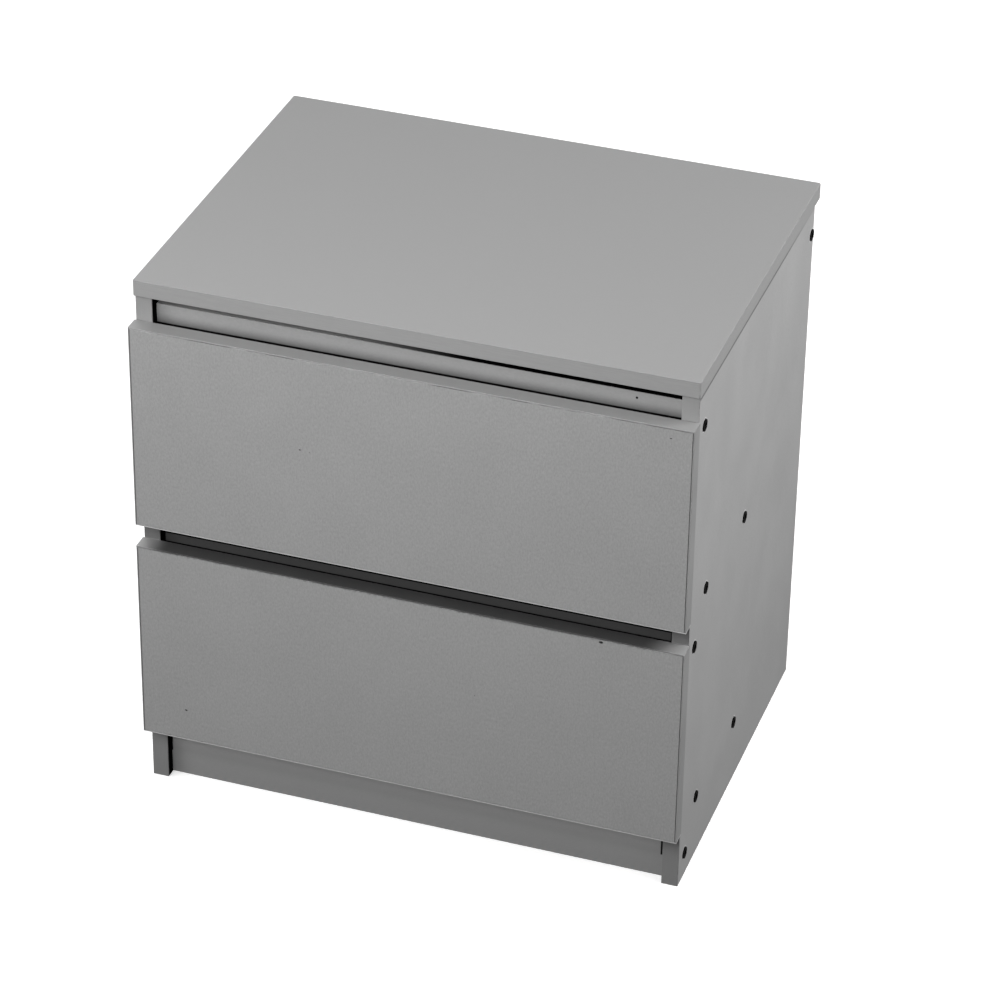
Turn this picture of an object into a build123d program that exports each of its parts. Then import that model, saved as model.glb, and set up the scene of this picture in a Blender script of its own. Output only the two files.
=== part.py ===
from build123d import *
import os

# A flat-pack nightstand: a carcass of 12 mm board with two drawers on wooden runners.
# Frame: origin on the floor at the centre of the overall footprint, +Z up, drawers open along -Y.
# All lengths are millimetres.

# ---------------------------------------------------------------- driving dimensions
board = 12.0  # thickness of every main board
arris = 0.5  # rounding of the visible board edges
overall_height = 410.0

# Top panel
top_width = 400.0
top_depth = 300.0
top_front_overhang = 2.0  # past the side panels' front edges
top_corner_radius = 1.5

# Side panels
case_width = 398.0  # outside to outside
side_depth = 288.0

# Rails between the side panels
rail_height = 40.0
front_rail_setback = 8.0  # behind the side panels' front edges
plinth_centre_z = 20.0
middle_rail_centre_z = 194.0
top_front_rail_centre_z = 369.5
top_back_rail_centre_z = 376.0

# Back panel, in grooves of the side panels
back_thickness = 3.0
back_groove_width = 3.4
back_groove_depth = 5.0
back_panel_fit = 0.4  # room left at the bottom of each groove
back_panel_bottom_z = 1.0
back_panel_top_gap = 0.5

# Drawers
drawer_pitch = 175.0  # from one drawer to the next
front_width = 400.0
front_height = 158.0
front_bottom_z = 46.0  # of the lower drawer
front_gap = 0.5  # between a drawer front and the side panels' edges
box_width = 371.0
box_depth = 250.0
box_height = 110.0
box_bottom_gap = 0.3  # running gap over the runners
bottom_thickness = 3.0
bottom_groove_width = 3.4
bottom_groove_depth = 5.0
bottom_groove_height = 10.0  # from a drawer side's lower edge to the groove
bottom_panel_fit = 0.4

# Runners
runner_height = 16.0
runner_length = 220.0
runner_start = 22.0  # behind the side panels' front edges
runner_centre_z = 53.0  # of the lower pair
runner_screw_places = (37.0, 133.0)  # behind the side panels' front edges

# Edge bands
band_thickness = 0.8
band_seam = 0.5  # width and depth of the glue seam beside a band
band_arris = 0.3
band_joint = 0.1  # between two bands at a corner

# Countersunk heads
head_angle = 90.0
head_rim = 0.5  # straight rim above the cone
head_fit = 0.25  # room round the cone

# Socket screws through the side panels
screw_head_radius = 4.3
screw_head_rim = 1.4  # straight rim above the cone, the lower part of it in the panel
screw_radius = 2.2
screw_stand = 0.9  # head above the panel's surface
screw_fit = 0.1
socket_across_flats = 4.0
socket_depth = 2.0
rail_screw_length = 40.0
runner_screw_length = 20.0

# Dowels
dowel_radius = 3.0
dowel_length = 28.0
dowel_depth_in_face = 8.0  # in the board that the dowel enters through its face
dowel_chamfer = 0.6
dowel_fit = 0.1
dowel_end_gap = 0.5
rail_dowel_drop = 12.0  # below the rail's centre line

# Brackets under the top panel
bracket_leg = 18.0
bracket_length = 32.0
bracket_wall = 3.0
bracket_places = (60.0, 230.0)  # behind the side panels' front edges
bracket_screw_spacing = 18.0
bracket_screw_radius = 1.75
bracket_screw_length = 12.0
pan_head_radius = 3.4
pan_head_height = 2.0
cross_slot_length = 4.0
cross_slot_width = 0.9
cross_slot_depth = 1.0

# Cam fittings between a drawer front and its sides
fitting_heights = (25.0, 85.0)  # above a drawer side's lower edge
dowel_height = 55.0
cam_radius = 7.2
cam_depth = 9.5
cam_setback = 24.0  # behind the drawer front
cam_fit = 0.15
cam_slot_radius = 3.6
cam_face_thickness = 2.2
cam_bolt_radius = 2.8  # of the thread
cam_bolt_neck_radius = 2.0
cam_bolt_head_radius = 3.3
cam_bolt_depth_in_front = 9.0
cam_arris = 0.4

# Screws of the drawer back and bottom
back_screw_length = 34.0
back_screw_radius = 1.8
back_screw_head_radius = 3.6
back_screw_recess = 0.3
bottom_screw_length = 14.0
bottom_screw_radius = 1.3
bottom_screw_head_radius = 2.6
bottom_screw_spacing = 110.0
bottom_screw_count = 3

# ---------------------------------------------------------------- places worked out from them
top_back_overhang = top_depth - top_front_overhang - side_depth
overall_depth = board + front_gap + side_depth + top_back_overhang
front_face_y = -overall_depth / 2
front_back_y = front_face_y + board
side_front_y = front_back_y + front_gap
side_back_y = side_front_y + side_depth
side_height = overall_height - board
inside_half_width = case_width / 2 - board
front_rail_y = side_front_y + front_rail_setback + board / 2
back_rail_y = side_back_y - board / 2
back_groove_y = side_back_y - board - back_groove_width / 2
box_half_width = box_width / 2
box_inner_half_width = box_half_width - board
box_side_middle_x = box_half_width - board / 2
box_back_y = front_back_y + box_depth
box_bottom_z = runner_centre_z + runner_height / 2 + box_bottom_gap

rails = {
    "plinth": (front_rail_y, plinth_centre_z),
    "middle_rail": (front_rail_y, middle_rail_centre_z),
    "top_front_rail": (front_rail_y, top_front_rail_centre_z),
    "bottom_back_rail": (back_rail_y, plinth_centre_z),
    "top_back_rail": (back_rail_y, top_back_rail_centre_z),
}
dowelled_rail = "bottom_back_rail"  # two dowels in each end, and no screws
drawers = {"lower_drawer": 0.0, "upper_drawer": drawer_pitch}
bracket_hole_inset = (bracket_leg + bracket_wall) / 2  # from the corner that the bracket fills

right_outer_face = Plane(origin=(case_width / 2, 0, 0), x_dir=(0, 1, 0), z_dir=(1, 0, 0))
right_inner_face = Plane(origin=(inside_half_width, 0, 0), x_dir=(0, 1, 0), z_dir=(-1, 0, 0))
top_underside = Plane(origin=(0, 0, side_height), x_dir=(1, 0, 0), z_dir=(0, 0, -1))


# ---------------------------------------------------------------- helpers
def block(x_span, y_span, z_span, mode=Mode.ADD):
    """Adds or cuts a rectangular block in the part being built, from its three spans."""
    spans = (x_span, y_span, z_span)
    centre = [sum(span) / 2 for span in spans]
    sizes = [abs(span[1] - span[0]) for span in spans]
    with Locations(tuple(centre)):
        Box(*sizes, mode=mode)


def around(centre, size):
    """The span of a length centred on a coordinate."""
    return (centre - size / 2, centre + size / 2)


def mirrored(part):
    """The left-hand copy of a right-hand part."""
    with BuildPart() as copy:
        mirror(part, about=Plane.YZ)
    return copy.part


def both_sides(part):
    """A right-hand group of solids together with its left-hand copy."""
    with BuildPart() as pair:
        add(part)
        mirror(part, about=Plane.YZ)
    return pair.part


def save(part, name):
    """Labels a finished piece and writes its STEP file."""
    part.label = name
    export_step(part, f"parts/{name}.step")


# ---------------------------------------------------------------- fasteners
def countersunk_screw(length, radius, head_radius, rim):
    """A pointed screw along -Z, the top of its 90 degree head at the origin."""
    neck_z = -rim - (head_radius - radius)
    with BuildPart() as screw:
        with BuildSketch(Plane.XZ):
            with BuildLine():
                Polyline(
                    (0, 0),
                    (head_radius, 0),
                    (head_radius, -rim),
                    (radius, neck_z),
                    (radius, radius - length),
                    (0, -length),
                    close=True,
                )
            make_face()
        revolve(axis=Axis.Z)
    return screw.part


def socket_screw(length):
    """A black countersunk screw with a hexagon socket, as used through the side panels."""
    with BuildPart() as screw:
        add(countersunk_screw(length, screw_radius, screw_head_radius, screw_head_rim))
        with BuildSketch():
            RegularPolygon(socket_across_flats / 2, side_count=6, major_radius=False)
        extrude(amount=-socket_depth, mode=Mode.SUBTRACT)
    return screw.part


def head_hole(radius, head_radius, rim=head_rim):
    """Cuts the through hole of a countersunk screw, its head's top at the current location."""
    with Locations((0, 0, -rim)):
        CounterSinkHole(radius + screw_fit, head_radius + head_fit, counter_sink_angle=head_angle)


def cross_slot(length=cross_slot_length):
    """Cuts a cross recess downwards at the current location of the part being built."""
    Box(length, cross_slot_width, 2 * cross_slot_depth, mode=Mode.SUBTRACT)
    Box(cross_slot_width, length, 2 * cross_slot_depth, mode=Mode.SUBTRACT)


def wood_screw(length, radius, head_radius):
    """A small countersunk wood screw with a cross recess."""
    with BuildPart() as screw:
        add(countersunk_screw(length, radius, head_radius, head_rim))
        cross_slot(length=head_radius)
    return screw.part


def pan_head_screw():
    """A bracket screw, the underside of its pan head at the origin and its shank along -Z."""
    with BuildPart() as screw:
        with BuildSketch(Plane.XZ):
            with BuildLine():
                Polyline(
                    (0, pan_head_height),
                    (pan_head_radius - arris, pan_head_height),
                    (pan_head_radius, pan_head_height - arris),
                    (pan_head_radius, 0),
                    (bracket_screw_radius, 0),
                    (bracket_screw_radius, bracket_screw_radius - bracket_screw_length),
                    (0, -bracket_screw_length),
                    close=True,
                )
            make_face()
        revolve(axis=Axis.Z)
        with Locations((0, 0, pan_head_height)):
            cross_slot()
    return screw.part


def dowel():
    """A chamfered wooden dowel centred on the origin along Z."""
    with BuildPart() as peg:
        Cylinder(dowel_radius, dowel_length)
        chamfer(peg.edges().filter_by(GeomType.CIRCLE), dowel_chamfer)
    return peg.part


# ---------------------------------------------------------------- carcass
def make_top_panel():
    """The top panel, with pilot holes for the bracket screws in its underside."""
    y_span = (side_front_y - top_front_overhang, side_back_y + top_back_overhang)
    with BuildPart() as panel:
        block(around(0, top_width), y_span, (side_height, overall_height))
        fillet(panel.edges().filter_by(Axis.Z), top_corner_radius)
        fillet(panel.faces().sort_by(Axis.Z)[-1].edges(), arris)
        fillet(panel.faces().sort_by(Axis.Z)[0].edges(), arris)
        for side in (-1, 1):
            with Locations(top_underside):
                with Locations(*[(side * x, -y) for x, y in bracket_top_holes()]):
                    Hole(bracket_screw_radius + screw_fit, depth=bracket_screw_length - bracket_wall)
    return panel.part


def bracket_top_holes():
    """Where the right-hand bracket screws enter the top panel, as (x, y)."""
    x = inside_half_width - bracket_hole_inset
    return [
        (x, side_front_y + place + bracket_screw_spacing / 2) for place in bracket_places
    ]


def bracket_side_holes():
    """Where the right-hand bracket screws enter the side panel, as (y, z)."""
    z = side_height - bracket_hole_inset
    return [
        (side_front_y + place - bracket_screw_spacing / 2, z) for place in bracket_places
    ]


def rail_screw_places():
    """Where the rail screws pass the side panels, as (y, z)."""
    return [place for name, place in rails.items() if name != dowelled_rail]


def rail_dowel_places():
    """Where the dowels between the rails and the side panels are, as (y, z)."""
    below = [(y, z - rail_dowel_drop) for y, z in rails.values()]
    dowelled_y, dowelled_z = rails[dowelled_rail]
    return [*below, (dowelled_y, dowelled_z + rail_dowel_drop)]


def runner_screw_holes():
    """Where the runner screws pass the side panels, as (y, z)."""
    return [
        (side_front_y + place, runner_centre_z + lift)
        for lift in drawers.values()
        for place in runner_screw_places
    ]


def make_right_side_panel():
    """The right side panel: screw holes, dowel holes, bracket pilot holes and the back groove."""
    x_span = (inside_half_width, case_width / 2)
    with BuildPart() as panel:
        block(x_span, (side_front_y + band_thickness, side_back_y), (0, side_height))
        front = panel.faces().sort_by(Axis.Y)[0]
        chamfer(front.edges().filter_by(Axis.Z).sort_by(Axis.X)[-1], band_seam / 2)
        back = panel.faces().sort_by(Axis.Y)[-1]
        fillet(back.edges().filter_by(Axis.Z), arris)
        block(
            (inside_half_width, inside_half_width + back_groove_depth),
            around(back_groove_y, back_groove_width),
            (0, side_height),
            mode=Mode.SUBTRACT,
        )
        with Locations(right_outer_face.offset(screw_stand)):
            with Locations(*rail_screw_places(), *runner_screw_holes()):
                head_hole(screw_radius, screw_head_radius, screw_head_rim)
        with Locations(right_inner_face):
            with Locations(*[(y, -z) for y, z in rail_dowel_places()]):
                Hole(dowel_radius + dowel_fit, depth=dowel_depth_in_face + dowel_end_gap)
            with Locations(*[(y, -z) for y, z in bracket_side_holes()]):
                Hole(bracket_screw_radius + screw_fit, depth=bracket_screw_length - bracket_wall)
    return panel.part


def make_right_side_band():
    """The edge band glued to the front edge of the right side panel."""
    with BuildPart() as band:
        block(
            (inside_half_width, case_width / 2),
            (side_front_y, side_front_y + band_thickness),
            (0, side_height),
        )
        front = band.faces().sort_by(Axis.Y)[0]
        fillet(front.edges().filter_by(Axis.Z), band_arris)
    return band.part


def make_rail(centre_y, centre_z):
    """A rail between the side panels, with its screw hole and dowel holes in each end."""
    screw_depth = rail_screw_length - screw_stand - board + dowel_end_gap
    peg_depth = dowel_length - dowel_depth_in_face + dowel_end_gap
    z_span = around(centre_z, rail_height)
    screws = [place for place in rail_screw_places() if place == (centre_y, centre_z)]
    pegs = [(y, z) for y, z in rail_dowel_places() if y == centre_y and z_span[0] < z < z_span[1]]
    holes = (
        (screws, screw_radius + screw_fit, screw_depth),
        (pegs, dowel_radius + dowel_fit, peg_depth),
    )
    with BuildPart() as rail:
        block(around(0, 2 * inside_half_width), around(centre_y, board), z_span)
        fillet(rail.edges().filter_by(Axis.X), arris)
        for side in (-1, 1):
            origin = (side * inside_half_width, 0, 0)
            with Locations(Plane(origin=origin, x_dir=(0, 1, 0), z_dir=(side, 0, 0))):
                for places, radius, depth in holes:
                    for y, z in places:
                        with Locations((y, side * z)):
                            Hole(radius, depth=depth)
    return rail.part


def make_back_panel():
    """The thin back panel, let into the grooves of the side panels in front of the back rails."""
    half_width = inside_half_width + back_groove_depth - back_panel_fit
    with BuildPart() as panel:
        block(
            around(0, 2 * half_width),
            around(back_groove_y, back_thickness),
            (back_panel_bottom_z, side_height - back_panel_top_gap),
        )
    return panel.part


def make_right_runner(lift):
    """A wooden runner on the right side panel, with two blind screw holes."""
    start_y = side_front_y + runner_start
    with BuildPart() as runner:
        block(
            (inside_half_width - board, inside_half_width),
            (start_y, start_y + runner_length),
            around(runner_centre_z + lift, runner_height),
        )
        inner = runner.faces().sort_by(Axis.X)[0]
        fillet(inner.edges(), arris)
        face = Plane(origin=(inside_half_width, 0, 0), x_dir=(0, 1, 0), z_dir=(1, 0, 0))
        with Locations(face):
            with Locations(
                *[(side_front_y + place, runner_centre_z + lift) for place in runner_screw_places]
            ):
                Hole(screw_radius + screw_fit, depth=runner_screw_length - screw_stand - board)
    return runner.part


def make_side_screws(places, length):
    """The socket screws that enter the right side panel at the given (y, z) places."""
    screw = socket_screw(length)
    with BuildPart() as screws:
        with Locations(right_outer_face.offset(screw_stand)):
            with Locations(*places):
                add(screw)
    return screws.part


def make_rail_dowels():
    """The dowels between the rails and both side panels."""
    centre_x = inside_half_width + dowel_depth_in_face - dowel_length / 2
    peg = dowel()
    with BuildPart() as pegs:
        with Locations(Plane(origin=(centre_x, 0, 0), x_dir=(0, 1, 0), z_dir=(1, 0, 0))):
            with Locations(*rail_dowel_places()):
                add(peg)
    return both_sides(pegs.part)


def make_bracket(centre_y):
    """An angle bracket between the right side panel and the top panel, with a middle web."""
    corner_x = inside_half_width
    corner_z = side_height
    hole_shift = bracket_screw_spacing / 2
    top_hole = (corner_x - bracket_hole_inset, centre_y + hole_shift, corner_z - bracket_wall)
    side_hole = (corner_x - bracket_wall, centre_y - hole_shift, corner_z - bracket_hole_inset)
    with BuildPart() as bracket:
        with BuildSketch(Plane.XZ.offset(-centre_y - bracket_length / 2)):
            with BuildLine():
                Polyline(
                    (corner_x, corner_z),
                    (corner_x - bracket_leg, corner_z),
                    (corner_x - bracket_leg, corner_z - bracket_wall),
                    (corner_x - bracket_wall, corner_z - bracket_wall),
                    (corner_x - bracket_wall, corner_z - bracket_leg),
                    (corner_x, corner_z - bracket_leg),
                    close=True,
                )
            make_face()
        extrude(amount=bracket_length)
        with BuildSketch(Plane.XZ.offset(-centre_y - bracket_wall / 2)):
            with BuildLine():
                Polyline(
                    (corner_x - bracket_wall, corner_z - bracket_wall),
                    (corner_x - bracket_leg, corner_z - bracket_wall),
                    (corner_x - bracket_wall, corner_z - bracket_leg),
                    close=True,
                )
            make_face()
        extrude(amount=bracket_wall)
        with Locations(Plane(top_hole, z_dir=(0, 0, -1))):
            Hole(bracket_screw_radius + screw_fit, depth=bracket_wall)
        with Locations(Plane(side_hole, z_dir=(-1, 0, 0))):
            Hole(bracket_screw_radius + screw_fit, depth=bracket_wall)
    return bracket.part


def make_brackets():
    """All the angle brackets under the top panel."""
    with BuildPart() as brackets:
        for place in bracket_places:
            add(make_bracket(side_front_y + place))
    return both_sides(brackets.part)


def make_bracket_screws():
    """The pan-head screws of the brackets, into the side panels and the top panel."""
    screw = pan_head_screw()
    with BuildPart() as screws:
        with Locations(top_underside.offset(bracket_wall)):
            with Locations(*[(x, -y) for x, y in bracket_top_holes()]):
                add(screw)
        with Locations(right_inner_face.offset(bracket_wall)):
            with Locations(*[(y, -z) for y, z in bracket_side_holes()]):
                add(screw)
    return both_sides(screws.part)


# ---------------------------------------------------------------- drawers
def fitting_places(lift):
    """The heights of the cam fittings, and of the back screws, in a drawer."""
    return [box_bottom_z + lift + height for height in fitting_heights]


def groove_z_span(lift):
    """The height of the groove that holds a drawer's bottom."""
    start_z = box_bottom_z + lift + bottom_groove_height
    return (start_z, start_z + bottom_groove_width)


def bottom_z_span(lift):
    """The height of a drawer's bottom panel, centred in its groove."""
    return around(sum(groove_z_span(lift)) / 2, bottom_thickness)


def bottom_screw_places():
    """Where the bottom panel is screwed to the drawer back, as x."""
    middle = (bottom_screw_count - 1) / 2
    return [(i - middle) * bottom_screw_spacing for i in range(bottom_screw_count)]


def make_drawer_front(lift):
    """The board of a drawer front: seam chamfer, bottom groove, bolt and dowel holes."""
    z_span = (front_bottom_z + lift, front_bottom_z + lift + front_height)
    groove_half_width = box_inner_half_width + bottom_groove_depth
    with BuildPart() as front:
        block(
            around(0, front_width - 2 * band_thickness),
            (front_face_y, front_back_y),
            (z_span[0] + band_thickness, z_span[1] - band_thickness),
        )
        chamfer(front.faces().sort_by(Axis.Y)[0].edges(), band_seam)
        block(
            around(0, 2 * groove_half_width),
            (front_back_y - bottom_groove_depth, front_back_y),
            groove_z_span(lift),
            mode=Mode.SUBTRACT,
        )
        for side in (-1, 1):
            for z in fitting_places(lift):
                with Locations(Plane((side * box_side_middle_x, front_back_y, z), z_dir=(0, 1, 0))):
                    Hole(cam_bolt_radius + screw_fit, depth=cam_bolt_depth_in_front + dowel_end_gap)
            peg_z = box_bottom_z + lift + dowel_height
            with Locations(Plane((side * box_side_middle_x, front_back_y, peg_z), z_dir=(0, 1, 0))):
                Hole(dowel_radius + dowel_fit, depth=dowel_depth_in_face + dowel_end_gap)
    return front.part


def make_front_bands(lift):
    """The four edge bands round a drawer front, butted at its corners."""
    low_z = front_bottom_z + lift
    high_z = low_z + front_height
    half_width = front_width / 2
    y_span = (front_face_y, front_back_y)
    upright = (low_z + band_thickness + band_joint, high_z - band_thickness - band_joint)
    with BuildPart() as bands:
        block(around(0, front_width), y_span, (low_z, low_z + band_thickness))
        block(around(0, front_width), y_span, (high_z - band_thickness, high_z))
        block((-half_width, -half_width + band_thickness), y_span, upright)
        block((half_width - band_thickness, half_width), y_span, upright)
        lengthwise = bands.edges().filter_by(Axis.X).group_by(Axis.Y)[0]
        fillet(lengthwise.group_by(Axis.Z)[0] + lengthwise.group_by(Axis.Z)[-1], band_arris)
        upwards = bands.edges().filter_by(Axis.Z).group_by(Axis.Y)[0]
        upwards = upwards.filter_by(lambda edge: edge.length > front_height / 2)
        fillet(upwards.group_by(Axis.X)[0] + upwards.group_by(Axis.X)[-1], band_arris)
    return bands.part


def make_drawer_right_side(lift):
    """The right side of a drawer box, bored for its fittings and grooved for the bottom."""
    low_z = box_bottom_z + lift
    outer_face = Plane((box_half_width, 0, 0), x_dir=(0, 1, 0), z_dir=(1, 0, 0))
    with BuildPart() as board_side:
        block(
            (box_inner_half_width, box_half_width),
            (front_back_y, box_back_y),
            (low_z, low_z + box_height),
        )
        fillet(board_side.edges().filter_by(Axis.Y), arris)
        block(
            (box_inner_half_width, box_inner_half_width + bottom_groove_depth),
            (front_back_y, box_back_y),
            groove_z_span(lift),
            mode=Mode.SUBTRACT,
        )
        for z in fitting_places(lift):
            with Locations(outer_face):
                with Locations((front_back_y + cam_setback, z)):
                    Hole(cam_radius + cam_fit, depth=cam_depth)
            with Locations(outer_face.offset(-back_screw_recess)):
                with Locations((box_back_y - board / 2, z)):
                    head_hole(back_screw_radius, back_screw_head_radius)
            with Locations(Plane((box_side_middle_x, front_back_y, z), z_dir=(0, -1, 0))):
                Hole(cam_bolt_radius + screw_fit, depth=cam_setback)
        peg_plane = Plane((box_side_middle_x, front_back_y, low_z + dowel_height), z_dir=(0, -1, 0))
        with Locations(peg_plane):
            Hole(dowel_radius + dowel_fit, depth=dowel_length - dowel_depth_in_face + dowel_end_gap)
    return board_side.part


def make_drawer_back(lift):
    """The back of a drawer box, standing on the bottom panel between the sides."""
    low_z = bottom_z_span(lift)[1]
    middle_y = box_back_y - board / 2
    end_depth = back_screw_length + back_screw_recess - board + dowel_end_gap
    with BuildPart() as back:
        block(
            around(0, 2 * box_inner_half_width),
            (box_back_y - board, box_back_y),
            (low_z, box_bottom_z + lift + box_height),
        )
        top = back.faces().sort_by(Axis.Z)[-1]
        fillet(top.edges().filter_by(Axis.X), arris)
        for side in (-1, 1):
            for z in fitting_places(lift):
                with Locations(Plane((side * box_inner_half_width, middle_y, z), z_dir=(side, 0, 0))):
                    Hole(back_screw_radius + screw_fit, depth=end_depth)
        for x in bottom_screw_places():
            with Locations(Plane((x, middle_y, low_z), z_dir=(0, 0, -1))):
                Hole(bottom_screw_radius + screw_fit, depth=bottom_screw_length)
    return back.part


def make_drawer_bottom(lift):
    """The thin bottom panel of a drawer, held in grooves on three sides."""
    half_width = box_inner_half_width + bottom_groove_depth - bottom_panel_fit
    with BuildPart() as bottom:
        block(
            around(0, 2 * half_width),
            (front_back_y - bottom_groove_depth + bottom_panel_fit, box_back_y),
            bottom_z_span(lift),
        )
        for x in bottom_screw_places():
            low_face = Plane((x, box_back_y - board / 2, bottom_z_span(lift)[0]), z_dir=(0, 0, -1))
            with Locations(low_face):
                head_hole(bottom_screw_radius, bottom_screw_head_radius)
    return bottom.part


def cam():
    """A cam disc along -Z, its face just below the origin, its bolt slot open towards -X."""
    with BuildPart() as disc:
        with Locations((0, 0, -cam_depth / 2)):
            Cylinder(cam_radius, cam_depth - 2 * cam_fit)
        chamfer(disc.edges().filter_by(GeomType.CIRCLE), cam_arris)
        with BuildSketch(Plane.XY.offset(-cam_depth)):
            Circle(cam_slot_radius)
            with Locations((-cam_radius, 0)):
                Rectangle(2 * cam_radius, 2 * cam_slot_radius)
        extrude(amount=cam_depth - cam_face_thickness, mode=Mode.SUBTRACT)
        with Locations((0, 0, -cam_fit)):
            cross_slot(length=cam_radius)
    return disc.part


def cam_bolt():
    """The bolt that a cam draws in: round head at the origin, thread at the far end of +Z."""
    with BuildPart() as bolt:
        Sphere(cam_bolt_head_radius)
        with Locations((0, 0, cam_setback / 2)):
            Cylinder(cam_bolt_neck_radius, cam_setback)
        with Locations((0, 0, cam_setback + cam_bolt_depth_in_front / 2)):
            Cylinder(cam_bolt_radius, cam_bolt_depth_in_front)
    return bolt.part


def make_cams(lift):
    """The cam discs in the outer faces of both drawer sides."""
    disc = cam()
    with BuildPart() as cams:
        with Locations(Plane((box_half_width, 0, 0), x_dir=(0, 1, 0), z_dir=(1, 0, 0))):
            with Locations(*[(front_back_y + cam_setback, z) for z in fitting_places(lift)]):
                add(disc)
    return both_sides(cams.part)


def make_cam_bolts(lift):
    """The cam bolts, screwed into the drawer front."""
    bolt = cam_bolt()
    with BuildPart() as bolts:
        for z in fitting_places(lift):
            with Locations(Plane((box_side_middle_x, front_back_y + cam_setback, z), z_dir=(0, -1, 0))):
                add(bolt)
    return both_sides(bolts.part)


def make_drawer_dowels(lift):
    """The dowels between a drawer front and its sides."""
    peg_y = front_back_y - dowel_depth_in_face + dowel_length / 2
    peg_z = box_bottom_z + lift + dowel_height
    with BuildPart() as pegs:
        with Locations(Plane((box_side_middle_x, peg_y, peg_z), z_dir=(0, 1, 0))):
            add(dowel())
    return both_sides(pegs.part)


def make_back_screws(lift):
    """The wood screws through the drawer sides into the drawer back."""
    screw = wood_screw(back_screw_length, back_screw_radius, back_screw_head_radius)
    head_plane = Plane((box_half_width - back_screw_recess, 0, 0), x_dir=(0, 1, 0), z_dir=(1, 0, 0))
    with BuildPart() as screws:
        with Locations(head_plane):
            with Locations(*[(box_back_y - board / 2, z) for z in fitting_places(lift)]):
                add(screw)
    return both_sides(screws.part)


def make_bottom_screws(lift):
    """The small screws through the bottom panel into the drawer back."""
    screw = wood_screw(bottom_screw_length, bottom_screw_radius, bottom_screw_head_radius)
    with BuildPart() as screws:
        for x in bottom_screw_places():
            low_face = Plane((x, box_back_y - board / 2, bottom_z_span(lift)[0]), z_dir=(0, 0, -1))
            with Locations(low_face):
                add(screw)
    return screws.part


# ---------------------------------------------------------------- every piece
os.makedirs("parts", exist_ok=True)

right_side_panel = make_right_side_panel()
right_side_band = make_right_side_band()
right_rail_screws = make_side_screws(rail_screw_places(), rail_screw_length)
right_runner_screws = make_side_screws(runner_screw_holes(), runner_screw_length)

save(make_top_panel(), "top_panel")
save(right_side_panel, "right_side_panel")
save(mirrored(right_side_panel), "left_side_panel")
save(right_side_band, "right_side_edge_band")
save(mirrored(right_side_band), "left_side_edge_band")
save(make_back_panel(), "back_panel")
save(right_rail_screws, "right_rail_screws")
save(mirrored(right_rail_screws), "left_rail_screws")
save(right_runner_screws, "right_runner_screws")
save(mirrored(right_runner_screws), "left_runner_screws")
save(make_rail_dowels(), "rail_dowels")
save(make_brackets(), "top_brackets")
save(make_bracket_screws(), "bracket_screws")

for rail_name, (rail_y, rail_z) in rails.items():
    save(make_rail(rail_y, rail_z), rail_name)

for drawer_name, drawer_lift in drawers.items():
    right_runner = make_right_runner(drawer_lift)
    save(right_runner, f"{drawer_name}_right_runner")
    save(mirrored(right_runner), f"{drawer_name}_left_runner")
    drawer_right_side = make_drawer_right_side(drawer_lift)
    save(make_drawer_front(drawer_lift), f"{drawer_name}_front")
    save(make_front_bands(drawer_lift), f"{drawer_name}_front_edge_bands")
    save(drawer_right_side, f"{drawer_name}_right_side")
    save(mirrored(drawer_right_side), f"{drawer_name}_left_side")
    save(make_drawer_back(drawer_lift), f"{drawer_name}_back")
    save(make_drawer_bottom(drawer_lift), f"{drawer_name}_bottom")
    save(make_cams(drawer_lift), f"{drawer_name}_cams")
    save(make_cam_bolts(drawer_lift), f"{drawer_name}_cam_bolts")
    save(make_drawer_dowels(drawer_lift), f"{drawer_name}_dowels")
    save(make_back_screws(drawer_lift), f"{drawer_name}_back_screws")
    save(make_bottom_screws(drawer_lift), f"{drawer_name}_bottom_screws")
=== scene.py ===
import math

import bpy
from mathutils import Matrix, Vector


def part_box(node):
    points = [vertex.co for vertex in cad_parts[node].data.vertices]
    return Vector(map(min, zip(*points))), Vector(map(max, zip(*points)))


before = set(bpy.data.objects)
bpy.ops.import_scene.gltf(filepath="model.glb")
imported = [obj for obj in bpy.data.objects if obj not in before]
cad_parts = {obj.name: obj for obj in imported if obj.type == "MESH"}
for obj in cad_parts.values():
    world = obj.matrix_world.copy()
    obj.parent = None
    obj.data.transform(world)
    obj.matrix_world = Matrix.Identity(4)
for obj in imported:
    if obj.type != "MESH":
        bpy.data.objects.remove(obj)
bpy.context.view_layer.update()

# The looks of a grey flat-pack nightstand: every CAD node stays as it is and gets a procedural
# material. Patterns sit in the frame's own coordinates, in metres, so they move with the bodies.

LOWER_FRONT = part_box("lower_drawer_front_edge_bands")
UPPER_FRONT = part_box("upper_drawer_front_edge_bands")
DRAWERS = ("lower_drawer", "upper_drawer")
MM = 0.001


def neutral(level):
    """A grey without any tint."""
    return (level, level, level)


# ---------------------------------------------------------------- colours, linear
# The top's face, its edge bands, the fronts and the sides are one grey laminate; their greys
# differ as painted light and shade, darkest on the top's face and lightest on the sides.
TOP_GREY = neutral(0.297)
TOP_EDGE_GREY = neutral(0.345)
# painted shade on the top's rounded arris, which dulls its highlight
TOP_ARRIS_GREY = neutral(0.270)
FRONT_GREY = neutral(0.363)
SIDE_GREY = neutral(0.420)
RAIL_GREY = neutral(0.330)
TOP_RAIL_GREY = neutral(0.372)
RUBBED_GREY = neutral(0.460)
LIT_ARRIS_GREY = neutral(0.700)
SHADED_RAIL_GREY = neutral(0.085)
# painted shade, black, on the case's inside at its mouth
CASE_MOUTH_SHADE_GREY = neutral(0.007)
BAND_GREY = neutral(0.325)
SHADED_BAND_GREY = neutral(0.060)
DRAWER_GREY = neutral(0.300)
GLUE_LINE_GREY = neutral(0.060)
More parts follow.
